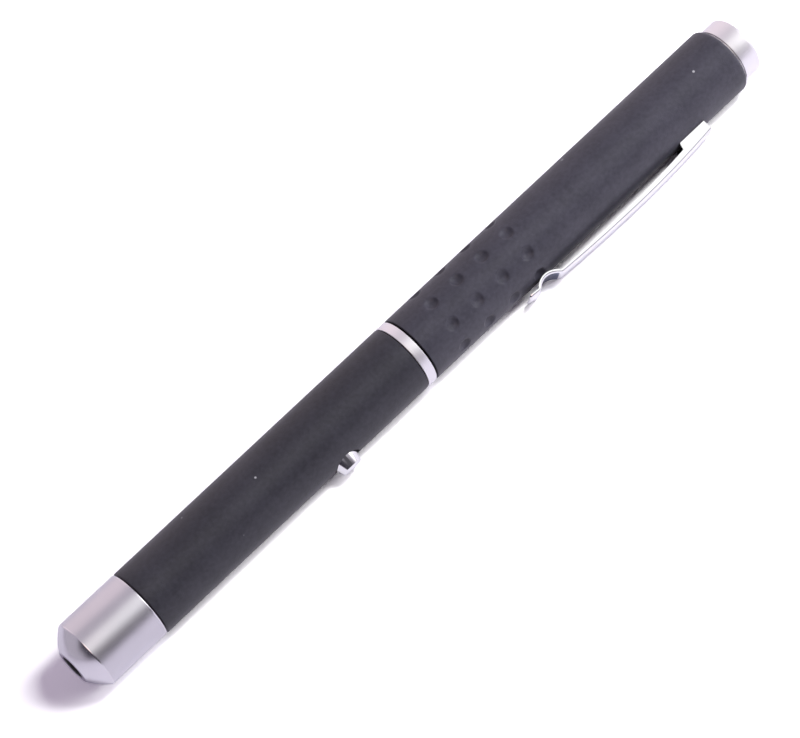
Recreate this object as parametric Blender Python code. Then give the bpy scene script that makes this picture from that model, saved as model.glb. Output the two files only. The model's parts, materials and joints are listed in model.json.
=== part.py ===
# Pen laser pointer with a clip, modelled as the separate pieces it is put together from.
#
# Lengths are in metres. The pen frame has +X along the pen from the nose's front face to the
# tail, and +Z out of the side that carries the button and the clip. The whole pen then lies on
# the floor, turned about its axis until the edge of the clip touches the floor too.

import math

import bmesh
import bpy
from mathutils import Matrix, Vector

for old in list(bpy.data.objects):
    bpy.data.objects.remove(old, do_unlink=True)

# Facets round the pen, and round small pieces
barrel_facets = 40
inner_facets = 28
small_facets = 20
dial_facets = 12
pin_facets = 8
curve_steps = 5

# Clearances between pieces that touch on the real pen
seat_gap = 0.00020
joint_gap = 0.00030

# Battery cells, which set the bore of the pen
cell_diameter = 0.0103
cell_length = 0.0445
cell_edge = 0.0004
cell_nub_radius = 0.0019
cell_nub_height = 0.0010
cell_foot_radius = 0.0032
cell_foot_height = 0.0003

# Barrels
cell_clearance = 0.0004
barrel_wall = 0.00095
barrel_edge = 0.0003
barrel_end_round = 0.0010
button_to_ring = 0.0191
ring_width = 0.00185
ring_edge = 0.00015
ring_seam = 0.00035

# Thread between the two halves, drawn without its turns
spigot_clearance = 0.00025
spigot_wall = 0.00045
spigot_reach = 0.0043
spigot_seat = 0.0050
thread_clearance = 0.00015
thread_relief = 0.0007

# Nose cone
nose_length = 0.0150
nose_dome_length = 0.0029
nose_dome_bulge = 0.0002
nose_face_radius = 0.0032
nose_lip = 0.00015
nose_edge = 0.0004
nose_wall = 0.00095
nose_floor = 0.0039
aperture_radius = 0.00195
aperture_edge = 0.00035
aperture_length = 0.0022
aperture_flare_radius = 0.0036

# Laser module
module_length = 0.0344
module_clearance = 0.0003
module_front_wall = 0.00085
module_front_bore = 0.0098
module_beam_radius = 0.0022
module_beam_length = 0.0040
module_rear_wall = 0.00165
module_edge = 0.0003
lens_cell_inset = 0.0022
lens_cell_length = 0.0040
lens_cell_wall = 0.0010
lens_cell_lip = 0.0007
lens_cell_slot = 0.0006
lens_cell_slot_depth = 0.0005
lens_edge_thickness = 0.0010
lens_bulge = 0.0006
lens_recess = 0.0020
expander_ring_length = 0.0022
expander_bore_radius = 0.0009
expander_lens_radius = 0.0015
expander_lens_thickness = 0.0009
expander_lens_hollow = 0.0003
filter_radius = 0.0021
filter_thickness = 0.0005
crystal_mount_length = 0.0050
crystal_side = 0.0015
crystal_length = 0.0034
diode_gap = 0.0004
diode_can_radius = 0.0019
diode_can_length = 0.0023
diode_flange_radius = 0.0027
diode_flange_length = 0.0012
diode_ring_length = 0.0032
diode_pin_radius = 0.0002
diode_pin_offset = 0.0009
diode_pin_overlap = 0.0018

# Driver board and what stands on it
board_margin = 0.0007
board_thickness = 0.0010
board_corner = 0.0006
chip_length = 0.0049
chip_width = 0.0039
chip_height = 0.0014
chip_gap = 0.0012
trimmer_side = 0.0032
trimmer_height = 0.0012
trimmer_dial_radius = 0.0012
trimmer_dial_height = 0.0005
trimmer_gap = 0.0006
capacitor_length = 0.0034
capacitor_width = 0.0026
capacitor_height = 0.0018
capacitor_gap = 0.0045
capacitor_pitch = 0.0060
part_edge = 0.00015

# Button and the switch under it
switch_gap = 0.0033
switch_side = 0.0052
switch_to_end = 0.0015
switch_height = 0.0021
switch_bore_clearance = 0.0002
switch_floor = 0.00045
plunger_radius = 0.0011
plunger_travel_room = 0.00055
button_radius = 0.00265
button_top_radius = 0.0020
button_taper_from = 0.0003
button_hole_clearance = 0.0002
button_proud = 0.0014
button_crown = 0.00010
button_edge = 0.00030
button_flange = 0.00055
button_flange_thickness = 0.0005

# Springs, at the length they have with the cells in place
front_spring_space = 0.0027
front_spring_wire = 0.0004
front_spring_base_radius = 0.0031
front_spring_tip_radius = 0.0015
front_spring_turns = 2
tail_spring_space = 0.0050
tail_spring_wire = 0.0005
tail_spring_base_radius = 0.0036
tail_spring_tip_radius = 0.0020
tail_spring_turns = 3.5
points_per_turn = 10

# Tail cap
tail_head_length = 0.0038
tail_head_step = 0.00075
tail_head_round = 0.0008
tail_wall = 0.0013
tail_plug_clearance = 0.00015
tail_plug_wall = 0.0008

# Dimples pressed into the rear barrel, in rows round it and stations along it
dimple_radius = 0.0012
dimple_depth = 0.00035
dimple_start = 0.0068
dimple_pitch = 0.0060
dimple_stations = 4
dimple_rows = 8
dimple_facets = 10
dimple_ring_shares = (0.5, 1.0, 1.3)

# Clip, a pressed channel whose free end dips in a round wave to touch the barrel
clip_length = 0.0447
clip_from_end = 0.0115
clip_width = 0.0046
clip_sheet = 0.0005
clip_crest = 0.0025
clip_tip_height = 0.0015
clip_root_height = 0.0016
clip_crown = 0.00010
clip_shoulder_width = 0.0005
clip_shoulder_height = 0.00035
clip_side_at_wave = 0.00050
clip_side_at_root = 0.00125
clip_root_block = 0.0064
clip_tip_round = 0.0011
clip_tip_width_share = 0.72
clip_tip_steps = 3
clip_crest_share = 0.58
clip_stations = 16
wave_from_tip = 0.0048
wave_radius = 0.0025
wave_gap = 0.00015
wave_stations = 12
wave_edge_share = 0.85
tab_length = 0.0036
tab_width = 0.0026
tab_reach = 0.00070
tab_from_end = 0.0008
tab_slot_clearance = 0.0002

# A cutter runs this far past the faces that it cuts through
overrun = 0.0010

# Radii worked out from the cells outwards
cell_radius = cell_diameter / 2
bore_radius = cell_radius + cell_clearance
barrel_radius = bore_radius + barrel_wall
spigot_bore_radius = cell_radius + spigot_clearance
spigot_radius = spigot_bore_radius + spigot_wall
thread_bore_radius = spigot_radius + thread_clearance
nose_bore_radius = barrel_radius - nose_wall
module_radius = min(bore_radius, nose_bore_radius) - module_clearance
module_front_radius = module_radius - module_front_wall
module_rear_radius = module_radius - module_rear_wall
lens_cell_radius = module_front_radius - seat_gap
lens_recess_radius = lens_cell_radius - lens_cell_wall
lens_radius = lens_recess_radius - seat_gap
inner_ring_radius = module_rear_radius - seat_gap
tail_head_radius = barrel_radius - tail_head_step
tail_plug_radius = bore_radius - tail_plug_clearance
tail_plug_bore_radius = tail_plug_radius - tail_plug_wall

# Places along the pen, from the nose's front face
module_start = nose_floor + joint_gap
module_end = module_start + module_length
board_start = module_end + joint_gap
pin_end = board_start + diode_pin_overlap
trimmer_place = pin_end + trimmer_gap + trimmer_side / 2
chip_place = trimmer_place + trimmer_side / 2 + chip_gap + chip_length / 2
capacitor_place = pin_end + capacitor_gap + capacitor_length / 2
button_place = chip_place + chip_length / 2 + switch_gap + switch_side / 2
board_end = button_place + switch_side / 2 + switch_to_end
board_length = board_end - board_start
front_cell_start = board_end + front_spring_space
rear_cell_start = front_cell_start + cell_length + joint_gap
rear_cell_end = rear_cell_start + cell_length
tail_floor = rear_cell_end + tail_spring_space
pen_length = tail_floor + tail_wall
tail_head_start = pen_length - tail_head_length
rear_barrel_end = tail_head_start - joint_gap
front_barrel_start = nose_length + joint_gap
front_barrel_end = button_place + button_to_ring
ring_start = front_barrel_end + seat_gap
ring_end = ring_start + ring_width
rear_barrel_start = ring_end + ring_seam
spigot_start = front_barrel_end - spigot_seat
spigot_end = rear_barrel_start + spigot_reach
clip_root_end = rear_barrel_end - clip_from_end
clip_tip = clip_root_end - clip_length

# Heights above and below the pen's axis, towards the button
board_top = board_thickness / 2
switch_base = board_top + seat_gap
switch_top = switch_base + switch_height
plunger_base = switch_base + switch_floor + plunger_travel_room
flange_radius = button_radius + button_flange
flange_top = math.sqrt(bore_radius**2 - flange_radius**2) - seat_gap
flange_base = flange_top - button_flange_thickness
plunger_top = flange_base - seat_gap

# The pen's rest: the roll at which the shoulder of the clip comes down to the floor
shoulder_radius = barrel_radius + clip_crest - clip_shoulder_height
shoulder_reach = math.hypot(shoulder_radius, clip_width / 2)
clip_dip = math.asin(barrel_radius / shoulder_reach) - math.atan2(clip_width / 2, shoulder_radius)
rest_roll = math.pi / 2 + clip_dip
clip_side_reach = max(
    shoulder_radius * math.cos(clip_dip) + clip_width / 2 * math.sin(clip_dip),
    (shoulder_radius + clip_shoulder_height) * math.cos(clip_dip)
    + (clip_width / 2 - clip_shoulder_width) * math.sin(clip_dip),
)
rest_shift = (clip_side_reach - barrel_radius) / 2


def make_empty(name, location, roll=0.0):
    """An empty that carries pieces and isn't one of them."""
    empty = bpy.data.objects.new(name, None)
    empty.empty_display_size = barrel_radius
    empty.location = location
    empty.rotation_euler = (roll, 0.0, 0.0)
    bpy.context.scene.collection.objects.link(empty)
    return empty


def make_material(name, colour, roughness, metallic, alpha=1.0):
    """One Principled material for each finish."""
    material = bpy.data.materials.new(name)
    material.use_nodes = True
    shader = material.node_tree.nodes["Principled BSDF"]
    shader.inputs["Base Color"].default_value = (*colour, 1.0)
    shader.inputs["Roughness"].default_value = roughness
    shader.inputs["Metallic"].default_value = metallic
    shader.inputs["Alpha"].default_value = alpha
    return material


dark_coating = make_material("dark_coating", (0.07, 0.068, 0.08), 0.62, 0.0)
satin_silver = make_material("satin_silver", (0.62, 0.61, 0.64), 0.32, 1.0)
chrome = make_material("chrome", (0.80, 0.80, 0.82), 0.08, 1.0)
brass = make_material("brass", (0.72, 0.55, 0.25), 0.35, 1.0)
copper = make_material("copper", (0.75, 0.42, 0.28), 0.35, 1.0)
steel = make_material("steel", (0.60, 0.60, 0.60), 0.30, 1.0)
lens_glass = make_material("lens_glass", (0.85, 0.90, 0.95), 0.05, 0.0, 0.35)
filter_glass = make_material("filter_glass", (0.35, 0.65, 0.70), 0.05, 0.0, 0.35)
crystal_glass = make_material("crystal_glass", (0.80, 0.65, 0.90), 0.08, 0.0, 0.5)
board_green = make_material("board_green", (0.03, 0.22, 0.09), 0.45, 0.0)
black_plastic = make_material("black_plastic", (0.03, 0.03, 0.03), 0.50, 0.0)
blue_plastic = make_material("blue_plastic", (0.08, 0.16, 0.45), 0.45, 0.0)
yellow_plastic = make_material("yellow_plastic", (0.75, 0.55, 0.08), 0.45, 0.0)
cell_sleeve = make_material("cell_sleeve", (0.08, 0.20, 0.16), 0.35, 0.0)

pen_frame = make_empty("pen_frame", (-pen_length / 2, rest_shift, barrel_radius), rest_roll)
button_frame = make_empty("button_frame", (button_place, 0.0, 0.0))
button_frame.parent = pen_frame


def finish_object(bm, name, material, origin, parent):
    """Turn a bmesh, drawn in the pen frame, into an object with its origin at the given place."""
    bmesh.ops.recalc_face_normals(bm, faces=bm.faces)
    mesh = bpy.data.meshes.new(name)
    bm.transform(Matrix.Translation(-Vector(origin)))
    bm.to_mesh(mesh)
    bm.free()
    mesh.shade_smooth()
    mesh.set_sharp_from_angle(angle=math.radians(35))
    if material is not None:
        mesh.materials.append(material)
    piece = bpy.data.objects.new(name, mesh)
    piece.location = origin
    piece.parent = parent
    bpy.context.scene.collection.objects.link(piece)
    return piece


def ring_of_points(bm, along, radius, facets, axis, centre):
    """The vertices of one station of a turned form, or a single one where it meets the axis."""
    points = []
    for step in range(facets if radius > 0 else 1):
        angle = 2 * math.pi * (step + 0.5) / facets
        across = radius * math.cos(angle)
        up = radius * math.sin(angle)
        if axis == "X":
            place = Vector((along, across, up))
        else:
            place = Vector((across, up, along))
        points.append(bm.verts.new(place + centre))
    return points


def add_turned(bm, profile, facets, axis="X", centre=(0.0, 0.0, 0.0)):
    """Turn a closed profile of (place along the axis, radius) points about the axis."""
    centre = Vector(centre)
    rings = [ring_of_points(bm, along, radius, facets, axis, centre) for along, radius in profile]
    for near, far in zip(rings, rings[1:] + rings[:1]):
        if len(near) == 1 and len(far) == 1:
            continue
        for step in range(facets):
            after = (step + 1) % facets
            corners = []
            corners.append(near[step % len(near)])
            if len(near) > 1:
                corners.append(near[after])
            if len(far) > 1:
                corners.append(far[after])
            corners.append(far[step % len(far)])
            bm.faces.new(corners)


def turned_piece(name, profile, facets, material, parent=pen_frame, axis="X", centre=(0.0, 0.0, 0.0),
                 origin=(0.0, 0.0, 0.0)):
    """A piece turned from one closed profile."""
    bm = bmesh.new()
    add_turned(bm, profile, facets, axis, centre)
    return finish_object(bm, name, material, origin, parent)


def block_piece(name, centre, size, edge, material, parent=pen_frame, origin=(0.0, 0.0, 0.0)):
    """A block with its long edges eased."""
    bm = bmesh.new()
    bmesh.ops.create_cube(bm, size=1.0)
    bmesh.ops.scale(bm, vec=size, verts=bm.verts)
    bmesh.ops.translate(bm, vec=centre, verts=bm.verts)
    if edge > 0:
        upright = [e for e in bm.edges if abs(e.verts[0].co.z - e.verts[1].co.z) > edge]
        bmesh.ops.bevel(bm, geom=upright, offset=edge, segments=1, affect="EDGES")
    return finish_object(bm, name, material, origin, parent)


def as_cutter(piece):
    """Mark a helper solid that shapes its target and isn't part of the pen."""
    piece.hide_render = True
    piece.display_type = "WIRE"
    return piece


def combine(target, helper, operation):
    """Cut the helper from the target, or join it on, with an exact Boolean."""
    modifier = target.modifiers.new(helper.name, "BOOLEAN")
    modifier.operation = operation
    modifier.solver = "EXACT"
    modifier.object = as_cutter(helper)


def arc_points(centre_along, centre_radius, size, start, stop, steps=curve_steps):
    """Points of a quarter round in a turned profile, from one angle to another, in degrees."""
    points = []
    for step in range(steps + 1):
        angle = math.radians(start + (stop - start) * step / steps)
        points.append((centre_along + size * math.cos(angle), centre_radius + size * math.sin(angle)))
    return points


def make_nose_cone():
    """Silver nose: a bulging taper with a plain round aperture, a fine lip and a straight skirt."""
    dome = []
    dome_rise = barrel_radius - nose_lip - nose_face_radius
    dome_slant = math.hypot(nose_dome_length, dome_rise)
    for step in range(curve_steps + 1):
        share = step / curve_steps
        bulge = nose_dome_bulge * 4 * share * (1 - share)
        along = nose_dome_length * share - bulge * dome_rise / dome_slant
        radius = nose_face_radius + dome_rise * share + bulge * nose_dome_length / dome_slant
        dome.append((along, radius))
    profile = [
        (aperture_length, aperture_radius),
        (aperture_edge, aperture_radius),
        (0.0, aperture_radius + aperture_edge),
        *dome,
        (nose_dome_length + nose_lip, barrel_radius),
        (nose_length - nose_edge, barrel_radius),
        (nose_length, barrel_radius - nose_edge),
        (nose_length, nose_bore_radius),
        (nose_floor, nose_bore_radius),
        (nose_floor, aperture_flare_radius),
    ]
    turned_piece("nose_cone", profile, barrel_facets, satin_silver)


def make_module_housing():
    """Brass body of the laser module, with the lens bore in front and the diode bore behind."""
    front_floor = module_start + module_front_bore
    beam_end = front_floor + module_beam_length
    profile = [
        (module_start, module_front_radius),
        (module_start, module_radius - module_edge),
        (module_start + module_edge, module_radius),
        (module_end - module_edge, module_radius),
        (module_end, module_radius - module_edge),
        (module_end, module_rear_radius),
        (beam_end, module_rear_radius),
        (beam_end, module_beam_radius),
        (front_floor, module_beam_radius),
        (front_floor, module_front_radius),
    ]
    turned_piece("module_housing", profile, inner_facets, brass)


def make_lens_cell():
    """Threaded brass cell that carries the collimating lens, with two slots for a key."""
    start = module_start + lens_cell_inset
    seat = start + lens_recess
    end = start + lens_cell_length
    bore = lens_radius - lens_cell_lip
    profile = [
        (start, lens_recess_radius),
        (start, lens_cell_radius),
        (end, lens_cell_radius),
        (end, bore),
        (seat, bore),
        (seat, lens_recess_radius),
    ]
    cell = turned_piece("lens_cell", profile, inner_facets, brass)
    slot = block_piece(
        "lens_cell_slot",
        (start, 0.0, 0.0),
        (2 * lens_cell_slot_depth, 2 * (lens_cell_radius + overrun), lens_cell_slot),
        0.0,
        None,
    )
    combine(cell, slot, "DIFFERENCE")


def make_collimating_lens():
    """Plano-convex lens with its curved face towards the aperture."""
    back = module_start + lens_cell_inset + lens_recess - seat_gap
    front_edge = back - lens_edge_thickness
    profile = [(back, 0.0), (back, lens_radius)]
    for step in range(curve_steps):
        share = 1 - step / curve_steps
        profile.append((front_edge - lens_bulge * (1 - share**2), lens_radius * share))
    profile.append((front_edge - lens_bulge, 0.0))
    turned_piece("collimating_lens", profile, small_facets, lens_glass)


def make_expander():
    """Small ring behind the beam passage with the expander lens and the infrared filter in it."""
    start = module_start + module_front_bore + module_beam_length + seat_gap
    end = start + expander_ring_length
    filter_seat = start + filter_thickness + seat_gap
    lens_seat = end - expander_lens_thickness - seat_gap
    ring_profile = [
        (start, filter_radius + seat_gap),
        (start, inner_ring_radius),
        (end, inner_ring_radius),
        (end, expander_lens_radius + seat_gap),
        (lens_seat, expander_lens_radius + seat_gap),
        (lens_seat, expander_bore_radius),
        (filter_seat, expander_bore_radius),
        (filter_seat, filter_radius + seat_gap),
    ]
    turned_piece("expander_ring", ring_profile, small_facets, brass)
    filter_profile = [
        (start, 0.0),
        (start, filter_radius),
        (start + filter_thickness, filter_radius),
        (start + filter_thickness, 0.0),
    ]
    turned_piece("ir_filter", filter_profile, small_facets, filter_glass)
    lens_front = lens_seat + seat_gap
    lens_profile = [
        (lens_front + expander_lens_hollow, 0.0),
        (lens_front, expander_bore_radius),
        (lens_front, expander_lens_radius),
        (end, expander_lens_radius),
        (end, 0.0),
    ]
    turned_piece("expander_lens", lens_profile, small_facets, lens_glass)
    return end


def make_crystal(start):
    """Copper mount with a square hole, and the frequency-doubling crystal that sits in it."""
    end = start + crystal_mount_length
    middle = (start + end) / 2
    mount_profile = [(start, 0.0), (start, inner_ring_radius), (end, inner_ring_radius), (end, 0.0)]
    mount = turned_piece("crystal_mount", mount_profile, small_facets, copper)
    hole_side = crystal_side + 2 * seat_gap
    hole_size = (crystal_mount_length + 2 * overrun, hole_side, hole_side)
    hole = block_piece("crystal_hole", (middle, 0.0, 0.0), hole_size, 0.0, None)
    combine(mount, hole, "DIFFERENCE")
    crystal_size = (crystal_length, crystal_side, crystal_side)
    block_piece("laser_crystal", (middle, 0.0, 0.0), crystal_size, 0.0, crystal_glass)
    return end


def make_pump_diode(start):
    """Canned pump diode: a can, a wider flange and three pins that reach the driver board."""
    can_end = start + diode_can_length
    flange_end = can_end + diode_flange_length
    can_profile = [
        (start, 0.0),
        (start, diode_can_radius),
        (can_end, diode_can_radius),
        (can_end, diode_flange_radius),
        (flange_end, diode_flange_radius),
        (flange_end, 0.0),
    ]
    diode = turned_piece("pump_diode", can_profile, small_facets, steel)
    pin_start = flange_end - diode_flange_length / 2
    pin_places = (
        (diode_pin_offset, -diode_pin_offset),
        (-diode_pin_offset, -diode_pin_offset),
        (0.0, diode_pin_offset),
    )
    for count, (across, up) in enumerate(pin_places):
        pin_profile = [
            (pin_start, 0.0),
            (pin_start, diode_pin_radius),
            (pin_end, diode_pin_radius),
            (pin_end, 0.0),
        ]
        pin = turned_piece(f"diode_pin_{count + 1}", pin_profile, pin_facets, None, centre=(0.0, across, up))
        combine(diode, pin, "UNION")
    ring_bore = diode_flange_radius + seat_gap
    ring_lip = diode_can_radius + seat_gap
    lip_end = can_end - seat_gap
    lip_start = lip_end - diode_can_length / 2
    press_end = lip_end + diode_ring_length
    ring_profile = [
        (lip_start, ring_lip),
        (lip_start, inner_ring_radius),
        (press_end, inner_ring_radius),
        (press_end, ring_bore),
        (lip_end, ring_bore),
        (lip_end, ring_lip),
    ]
    turned_piece("diode_ring", ring_profile, small_facets, copper)


def make_board():
    """Driver board with its chip, trimmer and two capacitors."""
    board_width = 2 * (bore_radius - board_margin)
    board_middle = (board_start + board_end) / 2
    block_piece(
        "driver_board",
        (board_middle, 0.0, 0.0),
        (board_length, board_width, board_thickness),
        board_corner,
        board_green,
    )
    chip_centre = board_top + seat_gap + chip_height / 2
    block_piece(
        "driver_chip",
        (chip_place, 0.0, chip_centre),
        (chip_length, chip_width, chip_height),
        part_edge,
        black_plastic,
    )
    trimmer_base = board_top + seat_gap
    trimmer = block_piece(
        "trimmer",
        (trimmer_place, 0.0, trimmer_base + trimmer_height / 2),
        (trimmer_side, trimmer_side, trimmer_height),
        part_edge,
        blue_plastic,
    )
    dial_profile = [
        (trimmer_base + trimmer_height / 2, 0.0),
        (trimmer_base + trimmer_height / 2, trimmer_dial_radius),
        (trimmer_base + trimmer_height + trimmer_dial_height, trimmer_dial_radius),
        (trimmer_base + trimmer_height + trimmer_dial_height, 0.0),
    ]
    dial = turned_piece(
        "trimmer_dial", dial_profile, dial_facets, None, axis="Z", centre=(trimmer_place, 0.0, 0.0)
    )
    combine(trimmer, dial, "UNION")
    for count, name in enumerate(("capacitor_front", "capacitor_rear")):
        place = capacitor_place + count * capacitor_pitch
        block_piece(
            name,
            (place, 0.0, -board_top - seat_gap - capacitor_height / 2),
            (capacitor_length, capacitor_width, capacitor_height),
            part_edge,
            yellow_plastic,
        )


def make_switch_and_button():
    """Push switch on the board, its plunger, and the chrome button cap held in by its flange."""
    switch_middle = (switch_base + switch_top) / 2
    switch = block_piece(
        "tact_switch",
        (button_place, 0.0, switch_middle),
        (switch_side, switch_side, switch_height),
        part_edge,
        black_plastic,
    )
    bore = plunger_radius + switch_bore_clearance
    bore_profile = [
        (switch_base + switch_floor, 0.0),
        (switch_base + switch_floor, bore),
        (switch_top + overrun, bore),
        (switch_top + overrun, 0.0),
    ]
    centre = (button_place, 0.0, 0.0)
    hole = turned_piece("switch_bore", bore_profile, small_facets, None, axis="Z", centre=centre)
    combine(switch, hole, "DIFFERENCE")
    plunger_profile = [
        (plunger_base, 0.0),
        (plunger_base, plunger_radius),
        (plunger_top, plunger_radius),
        (plunger_top, 0.0),
    ]
    turned_piece(
        "switch_plunger", plunger_profile, small_facets, black_plastic, axis="Z", parent=button_frame
    )
    top = barrel_radius + button_proud
    cap_profile = [
        (flange_base, 0.0),
        (flange_base, flange_radius),
        (flange_top, flange_radius),
        (flange_top, button_radius),
        (barrel_radius - button_taper_from, button_radius),
        *arc_points(
            top - button_crown - button_edge, button_top_radius - button_edge, button_edge, 70, 10, 2
        ),
        (top, 0.0),
    ]
    turned_piece("button_cap", cap_profile, inner_facets, chrome, axis="Z", parent=button_frame)


def make_front_barrel():
    """Front half of the body, with the button's hole and a counterbore for the threaded spigot."""
    profile = [
        (front_barrel_start, bore_radius),
        (front_barrel_start, barrel_radius - barrel_edge),
        (front_barrel_start + barrel_edge, barrel_radius),
        (front_barrel_end, barrel_radius),
        (front_barrel_end, thread_bore_radius),
        (spigot_start - seat_gap, thread_bore_radius),
        (spigot_start - seat_gap, bore_radius),
    ]
    barrel = turned_piece("front_barrel", profile, barrel_facets, dark_coating)
    hole_radius = button_radius + button_hole_clearance
    hole_profile = [
        (bore_radius / 2, 0.0),
        (bore_radius / 2, hole_radius),
        (barrel_radius + overrun, hole_radius),
        (barrel_radius + overrun, 0.0),
    ]
    centre = (button_place, 0.0, 0.0)
    hole = turned_piece("button_hole", hole_profile, inner_facets, None, axis="Z", centre=centre)
    combine(barrel, hole, "DIFFERENCE")


def make_spigot_and_ring():
    """Threaded sleeve fixed in the front half, and the bright ring round it at the joint."""
    spigot_profile = [
        (spigot_start, spigot_bore_radius),
        (spigot_start, spigot_radius),
        (spigot_end, spigot_radius),
        (spigot_end, spigot_bore_radius),
    ]
    turned_piece("thread_spigot", spigot_profile, barrel_facets, brass)
    ring_profile = [
        (ring_start, thread_bore_radius),
        (ring_start, barrel_radius - ring_edge),
        (ring_start + ring_edge, barrel_radius),
        (ring_end - ring_edge, barrel_radius),
        (ring_end, barrel_radius - ring_edge),
        (ring_end, thread_bore_radius),
    ]
    turned_piece("trim_ring", ring_profile, barrel_facets, chrome)


def make_dimple_cutter():
    """All the dimples as one cutter: shallow lens forms in rows round the rear barrel."""
    ball_radius = (dimple_radius**2 + dimple_depth**2) / (2 * dimple_depth)
    ball_centre = barrel_radius + ball_radius - dimple_depth
    bm = bmesh.new()
    for row in range(dimple_rows):
        angle = 2 * math.pi * (row + 0.5) / dimple_rows
        for station in range(dimple_stations):
            place = rear_barrel_start + dimple_start + station * dimple_pitch
            before = len(bm.verts)
            profile = [(ball_centre - ball_radius, 0.0)]
            for share in dimple_ring_shares:
                reach = share * dimple_radius
                profile.append((ball_centre - math.sqrt(ball_radius**2 - reach**2), reach))
            profile.append((profile[-1][0], 0.0))
            add_turned(bm, profile, dimple_facets, "Z", (place, 0.0, 0.0))
            bm.verts.ensure_lookup_table()
            bmesh.ops.rotate(
                bm, verts=bm.verts[before:], cent=(0.0, 0.0, 0.0), matrix=Matrix.Rotation(angle, 3, "X")
            )
    return finish_object(bm, "dimple_cutter", None, (0.0, 0.0, 0.0), pen_frame)


def make_rear_barrel():
    """Rear half of the body, with its dimples, a rounded end and the slot for the clip."""
    thread_end = spigot_end + thread_relief
    profile = [
        (rear_barrel_start, thread_bore_radius),
        (rear_barrel_start, barrel_radius - ring_edge),
        (rear_barrel_start + ring_edge, barrel_radius),
        *arc_points(
            rear_barrel_end - barrel_end_round, barrel_radius - barrel_end_round, barrel_end_round, 90, 15, 3
        ),
        (rear_barrel_end, bore_radius),
        (thread_end, bore_radius),
        (thread_end, thread_bore_radius),
    ]
    barrel = turned_piece("rear_barrel", profile, barrel_facets, dark_coating)
    combine(barrel, make_dimple_cutter(), "DIFFERENCE")
    slot_size = (
        tab_length + 2 * tab_slot_clearance,
        tab_width + 2 * tab_slot_clearance,
        barrel_radius + overrun - bore_radius / 2,
    )
    slot_middle = (barrel_radius + overrun + bore_radius / 2) / 2
    slot_place = clip_root_end - tab_from_end - tab_length / 2
    slot = block_piece("clip_slot", (slot_place, 0.0, slot_middle), slot_size, 0.0, None)
    combine(barrel, slot, "DIFFERENCE")


def clip_rise(share):
    """Height of the clip's back over the barrel: a bow that is highest past its middle."""
    if share < clip_crest_share:
        away = (clip_crest_share - share) / clip_crest_share
        return clip_crest - (clip_crest - clip_tip_height) * away**2
    away = (share - clip_crest_share) / (1 - clip_crest_share)
    return clip_crest - (clip_crest - clip_root_height) * away**2


def add_lofted(bm, sections):
    """Skin a row of closed sections that have the same number of points, and close both ends."""
    rings = [[bm.verts.new(point) for point in section] for section in sections]
    for near, far in zip(rings, rings[1:]):
        for step in range(len(near)):
            after = (step + 1) % len(near)
            bm.faces.new((near[step], near[after], far[after], far[step]))
    bm.faces.new(rings[0])
    bm.faces.new(rings[-1][::-1])
    bmesh.ops.triangulate(bm, faces=bm.faces)


def clip_places():
    """Stations along the clip from its tip, closer together at the wave and at the root block."""
    wave_start = wave_from_tip - wave_radius
    wave_end = wave_from_tip + wave_radius
    block_start = clip_length - clip_root_block
    places = [clip_tip_round * step / clip_tip_steps for step in range(clip_tip_steps + 1)]
    for step in range(wave_stations):
        places.append(wave_start + (wave_end - wave_start) * step / wave_stations)
    for step in range(clip_stations):
        places.append(wave_end + (block_start - wave_end) * step / clip_stations)
    places += [block_start, block_start + clip_sheet, clip_length - clip_sheet, clip_length]
    return places


def clip_drop(place, across_share):
    """How far the wave takes the clip's back down, most at its middle line and less at its edges."""
    from_middle = abs(place - wave_from_tip) / wave_radius
    if from_middle >= 1:
        return 0.0
    depth = clip_rise(wave_from_tip / clip_length) + clip_crown - clip_sheet - wave_gap
    return depth * (1 - from_middle**2) * (1 - (1 - wave_edge_share) * across_share**2)


def clip_side_depth(place):
    """Height of the clip's side walls, which fade into the plain strip at the wave."""
    wave_end = wave_from_tip + wave_radius
    to_block = max(0.0, place - wave_end) / (clip_length - clip_root_block - wave_end)
    return clip_side_at_wave + (clip_side_at_root - clip_side_at_wave) * min(1.0, to_block)


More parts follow.
